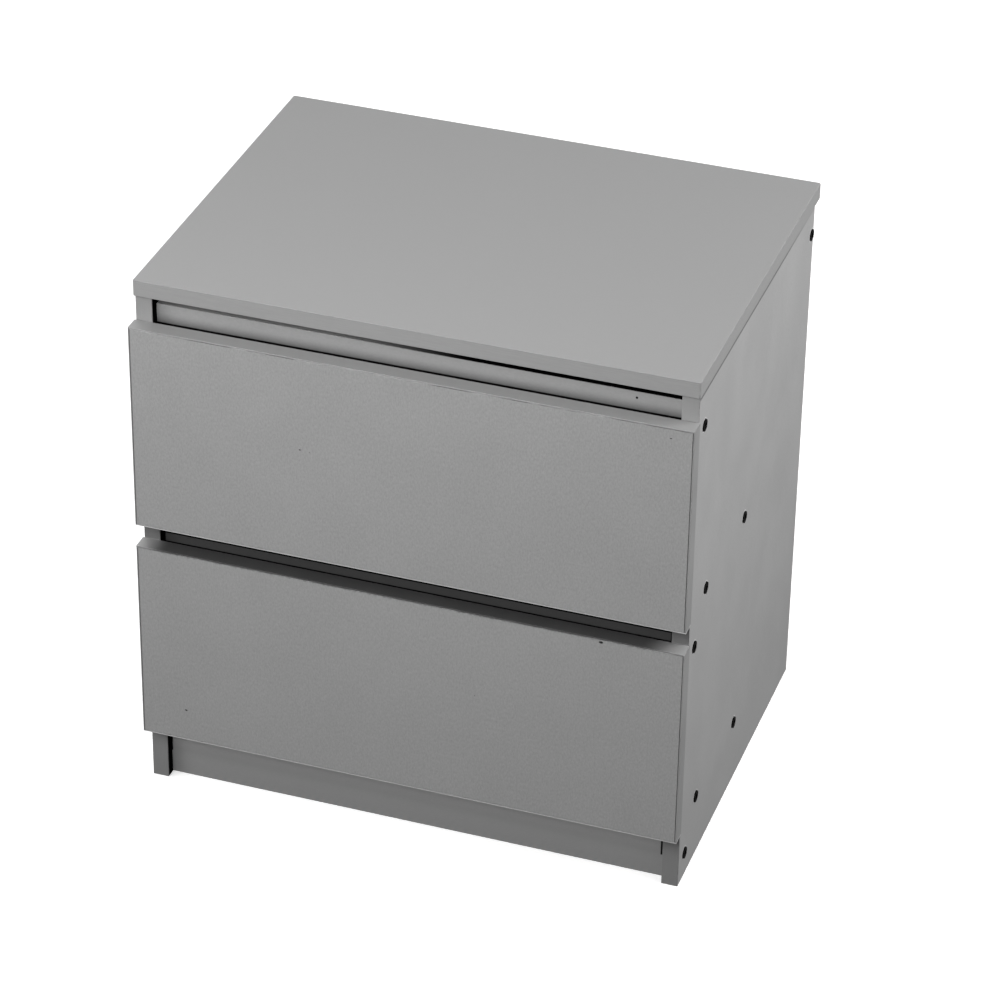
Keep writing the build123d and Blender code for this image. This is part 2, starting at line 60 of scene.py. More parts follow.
# painted shade in gaps and corners, and one small dark mark on the top rail
CREVICE_SHADE_AND_MARK_GREY = neutral(0.003)
HOLE_RIM_HIGHLIGHT_GREY = neutral(0.800)
MARK_GREY = neutral(0.012)
CHIPBOARD = (0.330, 0.270, 0.205)
CHIPBOARD_DARK = (0.140, 0.100, 0.068)
HARDBOARD_FACE = neutral(0.250)
HARDBOARD_BACK = (0.270, 0.190, 0.125)
PINE = (0.520, 0.420, 0.290)
PINE_LATEWOOD = (0.330, 0.220, 0.120)
BEECH = (0.560, 0.420, 0.270)
BEECH_DARK = (0.380, 0.250, 0.145)
BLACK_OXIDE = neutral(0.006)
BLACK_OXIDE_DULL = neutral(0.003)
ZINC = (0.560, 0.570, 0.580)
ZINC_DULL = (0.330, 0.335, 0.345)
NYLON = (0.022, 0.022, 0.023)

# tones of painted shade, as factors on the colour
GAP_SHADE_TONE = 0.50  # painted shade on the side panels' front edges beside the gap between the drawers
CASE_SHADE_TONE = 0.70  # painted shade on the side panels' inner faces, behind the black painted shade at the mouth of the case
FOOT_SHADE_TONE = 0.78  # painted shade on the side panels' front edges below the drawers

# how much each part of a laminate's pattern changes its brightness, at texture 1
DUST_TONE = -0.22
LINT_TONE = 0.05
FIBRE_TONE = 0.20
GRIT_TONE = 0.10
CLOUD_TONE = 0.05

# how much of the colour wear replaces, at wear 1
RUB_SHARE = 0.30
NICK_SHARE = 0.55

# roughness
LAMINATE_ROUGHNESS = 0.46
LAMINATE_UNEVEN = 0.06
CORE_ROUGHNESS = 0.85
BAND_ROUGHNESS = 0.40
WOOD_ROUGHNESS = 0.62
FLOOR_ROUGHNESS = 0.9

SPECULAR = 0.5  # the shader's own specular level
NOISE_LOW = 0.3  # noise mostly stays between these two
NOISE_HIGH = 0.7
NOISE_MIDDLE = 0.5
STREAKED = 0.04  # how slowly noise changes along the drag marks of an edge band
FLUSH = 0.06 * MM  # a point this near to a plane is on it

# places on the boards
SCREW_SPACING = 12.0 * MM  # less than the distance between two screws, more than a head
MOUTH_BLACK = 10.0 * MM  # the case's inside is black this far in from its front
MOUTH_END = 26.0 * MM  # and has its own tone from here on
# a painted highlight rim round each screw, its size and strength
RIM_RADIUS = 5.0 * MM
RIM_FADED = 5.8 * MM
RIM_SHARE = 0.60
GLUE_LINE = 0.35 * MM
GLUE_LINE_FADED = 0.75 * MM
GLUE_LINE_SHARE = 0.80

ALONG_X = (1.0, 0.0, 0.0)
ALONG_Y = (0.0, 1.0, 0.0)
ALONG_Z = (0.0, 0.0, 1.0)


class Surface:
    """A material under construction, with short calls for the nodes it is made of."""

    def __init__(self, name):
        self.material = bpy.data.materials.new(name)
        self.material.use_nodes = True
        self.nodes = self.material.node_tree.nodes
        self.links = self.material.node_tree.links
        self.shader = self.nodes["Principled BSDF"]
        self.place = self.nodes.new("ShaderNodeTexCoord").outputs["Object"]

    def connect(self, socket, value):
        if isinstance(value, bpy.types.NodeSocket):
            self.links.new(value, socket)
        else:
            socket.default_value = value

    def math(self, operation, *values):
        made = self.nodes.new("ShaderNodeMath")
        made.operation = operation
        for socket, value in zip(made.inputs, values):
            self.connect(socket, value)
        return made.outputs["Value"]

    def times(self, first, second):
        return self.math("MULTIPLY", first, second)

    def axis(self, index):
        made = self.nodes.new("ShaderNodeSeparateXYZ")
        self.connect(made.inputs["Vector"], self.place)
        return made.outputs[index]

    def spread(self, value, low, high, to_low=0.0, to_high=1.0):
        """value, smoothly remapped so that low gives to_low and high gives to_high."""
        made = self.nodes.new("ShaderNodeMapRange")
        made.interpolation_type = "SMOOTHSTEP"
        for socket, given in zip(made.inputs, (value, low, high, to_low, to_high)):
            self.connect(socket, given)
        return made.outputs["Result"]

    def varied(self, noise, to_low, to_high):
        """A value that goes from to_low to to_high as noise goes over its whole range."""
        return self.spread(noise, NOISE_LOW, NOISE_HIGH, to_low, to_high)

    def swayed(self, base, noise, amount):
        """base, plus amount times how far noise is above its middle."""
        above = self.math("SUBTRACT", noise, NOISE_MIDDLE)
        return self.math("MULTIPLY_ADD", above, amount, base)

    def placed(self, stretch, shift):
        """The place, stretched and shifted, so that no two patterns fall together."""
        made = self.nodes.new("ShaderNodeMapping")
        self.connect(made.inputs["Vector"], self.place)
        made.inputs["Location"].default_value = (shift, 0.7 * shift, 1.3 * shift)
        made.inputs["Scale"].default_value = stretch
        return made.outputs["Vector"]

    def noise(self, size, detail=2.0, stretch=(1.0, 1.0, 1.0), shift=0.0, rough=0.5):
        """Noise from about 0.3 to 0.7, whose blobs are about size metres across."""
        made = self.nodes.new("ShaderNodeTexNoise")
        self.connect(made.inputs["Vector"], self.placed(stretch, shift))
        made.inputs["Scale"].default_value = 1.0 / size
        made.inputs["Detail"].default_value = detail
        made.inputs["Roughness"].default_value = rough
        return made.outputs["Fac"]

    def specks(self, spacing, radius, shift):
        """1 inside small scattered dots and 0 outside them."""
        made = self.nodes.new("ShaderNodeTexVoronoi")
        self.connect(made.inputs["Vector"], self.placed((1.0, 1.0, 1.0), shift))
        made.inputs["Scale"].default_value = 1.0 / spacing
        reach = radius / spacing
        return self.spread(made.outputs["Distance"], reach, 0.4 * reach)

    def mix(self, share, first, second):
        made = self.nodes.new("ShaderNodeMix")
        made.data_type = "RGBA"
        self.connect(made.inputs["Factor"], share)
        for socket, colour in ((made.inputs[6], first), (made.inputs[7], second)):
            whole = colour if isinstance(colour, bpy.types.NodeSocket) else (*colour, 1.0)
            self.connect(socket, whole)
        return made.outputs[2]

    def scaled(self, colour, factor):
        made = self.nodes.new("ShaderNodeVectorMath")
        made.operation = "SCALE"
        self.connect(made.inputs[0], colour)
        self.connect(made.inputs["Scale"], factor)
        return made.outputs["Vector"]

    def bump(self, height, depth, strength, normal=None):
        made = self.nodes.new("ShaderNodeBump")
        self.connect(made.inputs["Height"], height)
        made.inputs["Distance"].default_value = depth
        made.inputs["Strength"].default_value = strength
        if normal is not None:
            self.links.new(normal, made.inputs["Normal"])
        return made.outputs["Normal"]

    def edge_distance(self, box):
        """How far a point on the faces of a board with this box is from its nearest edge."""
        gaps = []
        for index in range(3):
            place = self.axis(index)
            low = self.math("SUBTRACT", place, box[0][index])
            high = self.math("SUBTRACT", box[1][index], place)
            gaps.append(self.math("MINIMUM", low, high))
        smaller = self.math("MINIMUM", gaps[0], gaps[1])
        larger = self.math("MAXIMUM", gaps[0], gaps[1])
        return self.math("MAXIMUM", smaller, self.math("MINIMUM", larger, gaps[2]))

    def distance(self, point, keep):
        """How far away point is, measured only along the axes that keep has as 1."""
        flat = self.nodes.new("ShaderNodeVectorMath")
        flat.operation = "MULTIPLY"
        self.connect(flat.inputs[0], self.place)
        flat.inputs[1].default_value = keep
        made = self.nodes.new("ShaderNodeVectorMath")
        made.operation = "DISTANCE"
        self.connect(made.inputs[0], flat.outputs["Vector"])
        made.inputs[1].default_value = [there * kept for there, kept in zip(point, keep)]
        return made.outputs["Value"]

    def nearest(self, points, keep):
        """How far away the nearest of some points is."""
        gap = self.distance(points[0], keep)
        for point in points[1:]:
            gap = self.math("MINIMUM", gap, self.distance(point, keep))
        return gap

    def finish(self, colour, roughness, normal=None, matte=None):
        """The material; where matte is 1 it does not mirror anything."""
        if matte is not None:
            mirrored = self.math("MULTIPLY_ADD", matte, -SPECULAR, SPECULAR)
            self.connect(self.shader.inputs["Specular IOR Level"], mirrored)
        self.connect(self.shader.inputs["Base Color"], colour)
        self.connect(self.shader.inputs["Roughness"], roughness)
        if normal is not None:
            self.links.new(normal, self.shader.inputs["Normal"])
        return self.material


# ---------------------------------------------------------------- laminates
def along_grain(grain, slow):
    """A stretch with which noise changes slowly along the grain, so its blobs are streaks."""
    return tuple(slow if part else 1.0 for part in grain)


def laminate_pattern(surface, grain, texture):
    """A laminate's brightness as a factor near 1, its fine grain's height and its clouds."""
    fibre = surface.noise(size=1.1 * MM, stretch=along_grain(grain, slow=0.50))
    grit = surface.noise(size=0.55 * MM, detail=1.0, shift=3.0)
    cloud = surface.noise(size=45.0 * MM, detail=3.0, shift=5.0)
    dust = surface.specks(spacing=34.0 * MM, radius=0.55 * MM, shift=1.0)
    lint = surface.specks(spacing=21.0 * MM, radius=0.45 * MM, shift=9.0)
    tone = surface.math("MULTIPLY_ADD", dust, DUST_TONE * texture, 1.0)
    tone = surface.math("MULTIPLY_ADD", lint, LINT_TONE * texture, tone)
    tone = surface.swayed(tone, fibre, FIBRE_TONE * texture)
    tone = surface.swayed(tone, grit, GRIT_TONE * texture)
    tone = surface.swayed(tone, cloud, CLOUD_TONE * min(texture, 1.0))
    return tone, surface.math("ADD", fibre, surface.times(grit, 0.5)), cloud


def worn(surface, colour, box, wear):
    """Rubbed lighter arrises with a few small dark nicks in them."""
    edge = surface.edge_distance(box)
    patchy = surface.noise(size=9.0 * MM, detail=3.0, shift=11.0)
    rub = surface.times(surface.spread(edge, 1.6 * MM, 0.2 * MM),
                        surface.spread(patchy, 0.42, 0.60))
    rubbed = surface.mix(surface.times(rub, RUB_SHARE * wear), colour, RUBBED_GREY)
    nick = surface.specks(spacing=17.0 * MM, radius=1.1 * MM, shift=13.0)
    nicked = surface.times(surface.spread(edge, 0.9 * MM, 0.4 * MM), nick)
    return surface.mix(surface.times(nicked, NICK_SHARE * wear), rubbed, CHIPBOARD_DARK)


def laminate(name, grey, grain, box, texture, wear):
    """The parts of a laminated board's material: its surface, colour, roughness and normal."""
    surface = Surface(name)
    factor, grain_height, cloud = laminate_pattern(surface, grain, texture)
    colour = worn(surface, surface.scaled(grey, factor), box, wear)
    uneven = LAMINATE_UNEVEN * min(texture, 1.0)
    roughness = surface.varied(cloud, LAMINATE_ROUGHNESS - uneven, LAMINATE_ROUGHNESS + uneven)
    normal = surface.bump(grain_height, 0.03 * MM, 0.35 * texture)
    return surface, colour, roughness, normal


def chipboard_colour(surface):
    """Pressed wood chips, pale and dark with fine dust between them, and their height."""
    flakes = surface.noise(size=1.6 * MM, detail=4.0, shift=21.0, rough=0.65)
    dust = surface.noise(size=0.5 * MM, shift=23.0)
    colour = surface.mix(surface.spread(flakes, 0.40, 0.62), CHIPBOARD_DARK, CHIPBOARD)
    return surface.scaled(colour, surface.varied(dust, 0.85, 1.15)), flakes


def screw_axes(panel):
    """The axes of the socket screws through a side panel, as points at x 0."""
    side = panel.split("_")[0]
    axes = []
    for kind in ("rail", "runner"):
        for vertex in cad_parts[f"{side}_{kind}_screws"].data.vertices:
            place = Vector((0.0, vertex.co.y, vertex.co.z))
            if all((place - axis).length > SCREW_SPACING for axis in axes):
                axes.append(place)
    return [screw_middle(side, axis) for axis in axes]


def screw_middle(side, near):
    """The middle, in y and z, of the screw whose surface passes the point near."""
    around = [vertex.co for kind in ("rail", "runner")
              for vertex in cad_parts[f"{side}_{kind}_screws"].data.vertices
              if math.hypot(vertex.co.y - near.y, vertex.co.z - near.z) < SCREW_SPACING]
    spans = [[place[index] for place in around] for index in (1, 2)]
    return Vector((0.0, *[(min(span) + max(span)) / 2 for span in spans]))


def case_side_shade(surface, node, box, colour):
    """A side panel's colour once shaded, and 1 where it is to be matte.

    Its inner face has painted shade, black at the mouth of the case and darker further in.
    Its outer face has a painted highlight rim round each screw and a painted shadow line just
    under the top.
    """
    outer_x = max(abs(box[0].x), abs(box[1].x))
    off_centre = surface.math("ABSOLUTE", surface.axis(0))
    inside = surface.math("LESS_THAN", off_centre, outer_x - FLUSH)
    depth = surface.axis(1)
    # painted shade on the inner face: black at the mouth, darker further in
    mouth = surface.spread(depth, box[0].y + MOUTH_END, box[0].y + MOUTH_BLACK)
    dark = surface.scaled(CASE_MOUTH_SHADE_GREY, surface.noise(size=2.0 * MM))
    shade = surface.mix(mouth, surface.scaled(colour, CASE_SHADE_TONE), dark)
    to_screw = surface.nearest(screw_axes(node), (0.0, 1.0, 1.0))
    # painted highlight rim round each screw
    rim = surface.times(surface.spread(to_screw, RIM_FADED, RIM_RADIUS), RIM_SHARE)
    top = box[1].z
    # painted shadow line just under the top, fading out towards the back
    under_top = surface.spread(surface.axis(2), top - 4.2 * MM, top - 2.8 * MM)
    in_front = surface.spread(depth, 150.0 * MM, 50.0 * MM, 0.15, 0.62)
    colour = surface.mix(rim, colour, HOLE_RIM_HIGHLIGHT_GREY)
    colour = surface.mix(surface.times(under_top, in_front), colour, CREVICE_SHADE_AND_MARK_GREY)
    return surface.mix(inside, colour, shade), surface.times(inside, mouth)


def open_edge_material(name, node, grey, grain, open_faces, case_side=False, **options):
    """A laminate board that shows its chipboard core on some faces of its box.

    Each open face is an axis and 0 for the box's low end of it or 1 for its high end.
    """
    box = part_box(node)
    surface, colour, roughness, normal = laminate(name, grey, grain, box, **options)
    matte = None
    if case_side:
        colour, matte = case_side_shade(surface, node, box, colour)
    core, flakes = chipboard_colour(surface)
    for index, end in open_faces:
        on_face = surface.math("COMPARE", surface.axis(index), box[end][index], FLUSH)
        colour = surface.mix(on_face, colour, core)
        roughness = surface.math("MAXIMUM", roughness, surface.times(on_face, CORE_ROUGHNESS))
    rough_core = surface.bump(flakes, 0.12 * MM, 0.25, normal)
    return surface.finish(colour, roughness, rough_core, matte)


def top_material(name, node):
    """The smooth top board: edge bands lighter than its face and arris darker, as painted light
    and shade.
    """
    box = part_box(node)
    top = box[1].z
    surface, colour, roughness, normal = laminate(name, TOP_GREY, ALONG_X, box,
                                                  texture=0.18, wear=0.35)
    drag = surface.noise(size=0.5 * MM, stretch=(STREAKED, STREAKED, 1.0), shift=41.0)
    band = surface.scaled(TOP_EDGE_GREY, surface.varied(drag, 0.97, 1.03))
    rounded = surface.spread(surface.axis(2), top, top - 0.25 * MM)
    below = surface.spread(surface.axis(2), top - 0.35 * MM, top - 0.85 * MM)
    soft = surface.mix(rounded, colour, TOP_ARRIS_GREY)
    return surface.finish(surface.mix(below, soft, band), roughness, normal)


def rail_corners(surface, box, right_inset):
    """1 in the narrow corners at a rail's ends that take painted shade, right_inset wider at its
    right end.
    """
    left = surface.spread(surface.axis(0), box[0].x + 0.9 * MM, box[0].x + 0.3 * MM)
    right_x = box[1].x - right_inset
    right = surface.spread(surface.axis(0), right_x - 0.9 * MM, right_x - 0.2 * MM)
    return surface.math("MAXIMUM", left, right)


def plinth_material(name, node):
    """The plinth: darker at its foot and lighter high up as painted light against the lower
    front's shade, with painted shade in its corners high up.
    """
    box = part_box(node)
    surface, colour, roughness, normal = laminate(name, RAIL_GREY, ALONG_X, box,
                                                  texture=0.5, wear=0.0)
    height = surface.axis(2)
    # painted light high up against the shade under the lower front, a little darker at the foot;
    # painted shade in the corners high up
    low = surface.spread(height, 5.0 * MM, 22.0 * MM, 0.95, 1.08)
    high = surface.spread(height, 19.0 * MM, 31.0 * MM, 1.0, 1.48)
    even = surface.scaled(colour, surface.times(low, high))
    dark = surface.times(rail_corners(surface, box, right_inset=2.9 * MM),
                         surface.spread(height, 18.0 * MM, 19.0 * MM))
    return surface.finish(surface.mix(dark, even, CREVICE_SHADE_AND_MARK_GREY), roughness, normal, dark)


def middle_rail_material(name, node):
    """The middle rail, dark as painted shade, with black painted shade round the strip of it
    that shows between the fronts.
    """
    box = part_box(node)
    front_top = LOWER_FRONT[1].z
    surface, colour, roughness, normal = laminate(name, SHADED_RAIL_GREY, ALONG_X, box,
                                                  texture=0.5, wear=0.0)
    height = surface.axis(2)
    # painted shade: black lines round the strip that shows between the fronts, and in the
    # corners at the rail's ends
    under = surface.spread(height, front_top - 4.6 * MM, front_top - 5.1 * MM)
    deeper = surface.spread(height, front_top - 14.0 * MM, front_top - 7.0 * MM, 0.3, 1.0)
    over = surface.spread(height, front_top + 1.5 * MM, front_top + 2.0 * MM)
    edges = surface.math("MAXIMUM", surface.times(under, deeper), over)
    dark = surface.math("MAXIMUM", rail_corners(surface, box, right_inset=2.2 * MM), edges)
    return surface.finish(surface.mix(dark, colour, CREVICE_SHADE_AND_MARK_GREY), roughness, normal, dark)


def top_rail_material(name, node):
    """The top front rail: painted shade low down, and black painted shade behind the front and
    under the top.

    The painted shadow line under the top fades out to the left. One small dark mark is on the
    right.
    """
    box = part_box(node)
    front_top = UPPER_FRONT[1].z
    surface, colour, roughness, normal = laminate(name, TOP_RAIL_GREY, ALONG_X, box,
                                                  texture=0.9, wear=0.0)
    height = surface.axis(2)
    # painted shade: darker low down and black just behind the top of the upper front
    shade = surface.spread(height, front_top - 6.0 * MM, front_top + 5.0 * MM, 0.40, 1.0)
    under = surface.spread(height, front_top - 3.2 * MM, front_top - 3.9 * MM)
    deeper = surface.spread(height, front_top - 14.0 * MM, front_top - 6.0 * MM, 0.12, 1.0)
    to_right = surface.spread(surface.axis(0), -70.0 * MM, 40.0 * MM)
    # a painted shadow line under the top that fades out to the left, and one small dark mark
    below_top = surface.spread(height, box[1].z - 0.5 * MM, box[1].z - 0.1 * MM)
    mark = (box[1].x - 33.0 * MM, 0.0, box[1].z - 5.0 * MM)
    to_mark = surface.distance(mark, (1.0, 0.0, 1.0))
    marks = surface.math("MAXIMUM", surface.spread(to_mark, 1.1 * MM, 0.6 * MM),
                         surface.times(below_top, to_right))
    dark = surface.math("MAXIMUM", surface.times(under, deeper), marks)
    mixed = surface.mix(dark, surface.scaled(colour, shade), CREVICE_SHADE_AND_MARK_GREY)
    return surface.finish(mixed, roughness, normal, dark)


# ---------------------------------------------------------------- drawer fronts and bands
# small dark chips in the faces: right of and above the middle of the front, and radius, in mm
FRONT_MARKS = {
    "lower_drawer_front": ((141.0, 76.0, 2.4), (-166.0, -53.0, 1.6)),
    "upper_drawer_front": ((-76.0, 8.0, 1.2), (184.0, 71.0, 1.0)),
}


def marked(surface, node, box, colour):
    """The colour of a drawer front with its small ragged chips."""
    centre = [(low + high) / 2 for low, high in zip(*box)]
    for right_by, up_by, radius in FRONT_MARKS[node]:
        spot = (centre[0] + right_by * MM, 0.0, centre[2] + up_by * MM)
        ragged = surface.math("MULTIPLY_ADD", surface.noise(size=0.8 * MM), 1.2, 0.2)
        reach = surface.math("DIVIDE", surface.distance(spot, (1.0, 0.0, 1.6)), ragged)
        chip = surface.spread(reach, radius * MM, 0.6 * radius * MM)
        colour = surface.mix(chip, colour, MARK_GREY)
    return colour


def front_material(name, node):
    """A drawer front: fine grained laminate with the glue lines of its edge bands.

    The lines run along its sides and, broken, along its top.
    """
    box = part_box(node)
    surface, colour, roughness, normal = laminate(name, FRONT_GREY, ALONG_Z, box,
                                                  texture=2.3, wear=0.0)
    right = surface.math("SUBTRACT", box[1].x, surface.axis(0))
    left = surface.math("SUBTRACT", surface.axis(0), box[0].x)
    above = surface.math("SUBTRACT", box[1].z, surface.axis(2))
    side_gap = surface.math("MINIMUM", right, left)
    side_line = surface.spread(side_gap, GLUE_LINE_FADED, GLUE_LINE)
    broken = surface.spread(surface.noise(size=38.0 * MM, shift=31.0), 0.44, 0.56)
    top_line = surface.times(surface.spread(above, GLUE_LINE_FADED, GLUE_LINE), broken)
    line = surface.times(surface.math("MAXIMUM", side_line, top_line), GLUE_LINE_SHARE)
    lined = surface.mix(line, colour, GLUE_LINE_GREY)
    # painted shade: the ragged soft edge of the shaded strip along the lower front's top
    if node == "lower_drawer_front":
        lined = surface.mix(dark_fringe(surface, above), lined, SHADED_BAND_GREY)
    return surface.finish(marked(surface, node, box, lined), roughness, normal)


def shaded_length(surface):
    """1 between the ends of the lower front, fading out towards them."""
    left, right = LOWER_FRONT[0].x, LOWER_FRONT[1].x
    from_left = surface.spread(surface.axis(0), left, left + 22.0 * MM)
    from_right = surface.spread(surface.axis(0), right + 4.0 * MM, right - 32.0 * MM)
    return surface.times(from_left, from_right)


def shaded_strip(surface):
    """1 on the top band between the ends of the lower front."""
    on_top = surface.math("GREATER_THAN", surface.axis(2), LOWER_FRONT[1].z - 0.9 * MM)
    return surface.times(on_top, shaded_length(surface))


def dark_fringe(surface, below_top):
    """The ragged soft edge of the shaded strip on the face of the lower front."""
    ragged = surface.noise(size=2.6 * MM, detail=3.0, shift=17.0)
    reach = surface.math("MULTIPLY_ADD", ragged, -3.4 * MM, below_top)
    fringe = surface.spread(reach, 0.0, -2.0 * MM, 0.0, 0.62)
    return surface.times(fringe, shaded_length(surface))


def leg_shade(surface):
    """The tone of a side panel's front edge: painted shade, darker between the fronts and below
    them.
    """
    height = surface.axis(2)
    lower_top, lower_bottom = LOWER_FRONT[1].z, LOWER_FRONT[0].z
    upper_bottom = UPPER_FRONT[0].z
    over_lower = surface.spread(height, lower_top - 1.0 * MM, lower_top + 1.0 * MM)
    under_upper = surface.spread(height, upper_bottom + 1.0 * MM, upper_bottom - 1.0 * MM)
    gap = surface.times(over_lower, under_upper)
    foot = surface.spread(height, lower_bottom + 4.0 * MM, lower_bottom - 2.0 * MM)
    in_gap = surface.math("MULTIPLY_ADD", gap, GAP_SHADE_TONE - 1.0, 1.0)
    return surface.math("MULTIPLY_ADD", foot, FOOT_SHADE_TONE - 1.0, in_gap)


def band_material(name, grain, front=None, is_leg=False):
    """Satin plastic edge band with faint lengthwise drag marks and small scuffs.

    A front's bands have a painted highlight at the bottom arris; the lower front's, painted
    shade on top.
    """
    surface = Surface(name)
    drag = surface.noise(size=0.5 * MM, stretch=along_grain(grain, STREAKED))
    cloud = surface.noise(size=26.0 * MM, detail=3.0, shift=2.0)
    scuff = surface.specks(spacing=12.0 * MM, radius=0.7 * MM, shift=7.0)
    tone = surface.swayed(1.0, drag, 0.10)
    tone = surface.swayed(tone, cloud, 0.08)
    tone = surface.math("MULTIPLY_ADD", scuff, -0.12, tone)
    roughness = surface.varied(cloud, BAND_ROUGHNESS - 0.06, BAND_ROUGHNESS + 0.10)
    normal = surface.bump(drag, 0.02 * MM, 0.30)
    if is_leg:
        tone = surface.times(tone, leg_shade(surface))
    colour = surface.scaled(BAND_GREY, tone)
    if front:
        bottom = front[0].z
        # painted highlight along the bottom arris of a front's bands
        arris = surface.spread(surface.axis(2), bottom + 1.0 * MM, bottom + 0.6 * MM, 0.0, 0.75)
        colour = surface.mix(arris, colour, LIT_ARRIS_GREY)
    if front == LOWER_FRONT:
        dark = surface.scaled(SHADED_BAND_GREY, tone)
        colour = surface.mix(shaded_strip(surface), colour, dark)
    return surface.finish(colour, roughness, normal)


# ---------------------------------------------------------------- wood, hardboard and hardware
def wood_material(name, early, late, grain, ring_size):
    """Planed wood: wavy growth rings stretched along the grain, and fine pores."""
    surface = Surface(name)
    rings = surface.noise(ring_size, 4.0, along_grain(grain, slow=0.045), rough=0.55)
    pores = surface.noise(0.35 * MM, 1.0, along_grain(grain, slow=0.06), shift=4.0)
    colour = surface.mix(surface.spread(rings, 0.40, 0.60), late, early)
    toned = surface.scaled(colour, surface.varied(pores, 0.86, 1.10))
    roughness = surface.varied(rings, WOOD_ROUGHNESS + 0.10, WOOD_ROUGHNESS - 0.06)
    normal = surface.bump(surface.math("ADD", rings, pores), 0.06 * MM, 0.35)
    return surface.finish(toned, roughness, normal)


def hardboard_material(name, face_axis, face_end, node):
    """Thin hardboard: a printed grey face and a bare brown fibre back with a sieve pattern.

    The face is the low end of the box along face_axis, or the high end if face_end is 1.
    """
    surface = Surface(name)
    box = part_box(node)
    plane = box[face_end][face_axis]
    face = surface.math("COMPARE", surface.axis(face_axis), plane, 0.4 * MM)
    fibre = surface.noise(size=0.9 * MM, detail=3.0, rough=0.6)
    cloud = surface.noise(size=30.0 * MM, detail=3.0, shift=6.0)
    sieve = surface.specks(spacing=1.5 * MM, radius=0.45 * MM, shift=2.0)
    brown = surface.scaled(HARDBOARD_BACK, surface.varied(fibre, 0.72, 1.28))
    grey = surface.scaled(HARDBOARD_FACE, surface.varied(cloud, 0.95, 1.05))
    roughness = surface.spread(face, 0.0, 1.0, 0.80, 0.55)
    hollows = surface.math("MULTIPLY_ADD", sieve, -1.0, fibre)
    normal = surface.bump(hollows, 0.05 * MM, 0.30)
    return surface.finish(surface.mix(face, brown, grey), roughness, normal)


def metal_material(name, bright, dull, middle_roughness, metallic, specular=SPECULAR):
    """Plated or blackened steel: cloudy plating with fine turning marks."""
    surface = Surface(name)
    cloud = surface.noise(size=1.4 * MM, detail=3.0, rough=0.6)
    turning = surface.noise(size=0.22 * MM, detail=1.0, stretch=(1.0, 0.2, 1.0), shift=3.0)
    colour = surface.mix(surface.spread(cloud, 0.35, 0.65), dull, bright)
    roughness = surface.varied(cloud, middle_roughness + 0.08, middle_roughness - 0.06)
    surface.shader.inputs["Metallic"].default_value = metallic
    surface.shader.inputs["Specular IOR Level"].default_value = specular
    normal = surface.bump(surface.math("ADD", cloud, turning), 0.02 * MM, 0.35)
    return surface.finish(colour, roughness, normal)


def nylon_material(name):
    """Moulded nylon: spark-eroded grain, and faint flow clouds."""
    surface = Surface(name)
    spark = surface.noise(size=0.30 * MM)
    flow = surface.noise(size=5.0 * MM, detail=3.0, stretch=(1.0, 0.3, 1.0), shift=8.0)
    colour = surface.scaled(NYLON, surface.varied(flow, 0.80, 1.25))
    roughness = surface.varied(flow, 0.42, 0.58)
    normal = surface.bump(spark, 0.03 * MM, 0.45)
    return surface.finish(colour, roughness, normal)


# ---------------------------------------------------------------- dressing the nodes
def dress(names, material):
    """Gives the material to each of these nodes, in all of its slots."""
    for name in names:
        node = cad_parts[name]
        if not node.material_slots:
            node.data.materials.append(material)
        for slot in node.material_slots:
            slot.material = material


def dress_case():
    side_open = ((1, 1), (2, 0), (2, 1))
    rail_open = ((2, 0), (2, 1))
    dress(["top_panel"], top_material("top_laminate", "top_panel"))
    for side in ("right", "left"):
        node = f"{side}_side_panel"
        finish = open_edge_material(f"{side}_side_laminate", node, SIDE_GREY, ALONG_Z, side_open,
                                    case_side=True, texture=0.80, wear=0.25)
        dress([node], finish)
    leg_band = band_material("side_band", ALONG_Z, is_leg=True)
    dress(["right_side_edge_band", "left_side_edge_band"], leg_band)
    dress(["plinth"], plinth_material("plinth_laminate", "plinth"))
    dress(["top_front_rail"], top_rail_material("top_front_rail_laminate", "top_front_rail"))
    dress(["middle_rail"], middle_rail_material("middle_rail_laminate", "middle_rail"))
    for node in ("bottom_back_rail", "top_back_rail"):
        finish = open_edge_material(f"{node}_laminate", node, RAIL_GREY, ALONG_X, rail_open,
                                    texture=0.5, wear=0.3)
        dress([node], finish)
    dress(["back_panel"], hardboard_material("back_hardboard", 1, 0, "back_panel"))


def dress_drawer(drawer):
    front = LOWER_FRONT if drawer == "lower_drawer" else UPPER_FRONT
    dress([f"{drawer}_front"], front_material(f"{drawer}_front_laminate", f"{drawer}_front"))
    dress([f"{drawer}_front_edge_bands"], band_material(f"{drawer}_bands", ALONG_X, front=front))
    for part, grain in (("right_side", ALONG_Y), ("left_side", ALONG_Y), ("back", ALONG_X)):
        node = f"{drawer}_{part}"
        finish = open_edge_material(f"{node}_laminate", node, DRAWER_GREY, grain, ((2, 0),),
                                    texture=0.7, wear=0.5)
        dress([node], finish)
    bottom = f"{drawer}_bottom"
    dress([bottom], hardboard_material(f"{drawer}_hardboard", 2, 1, bottom))


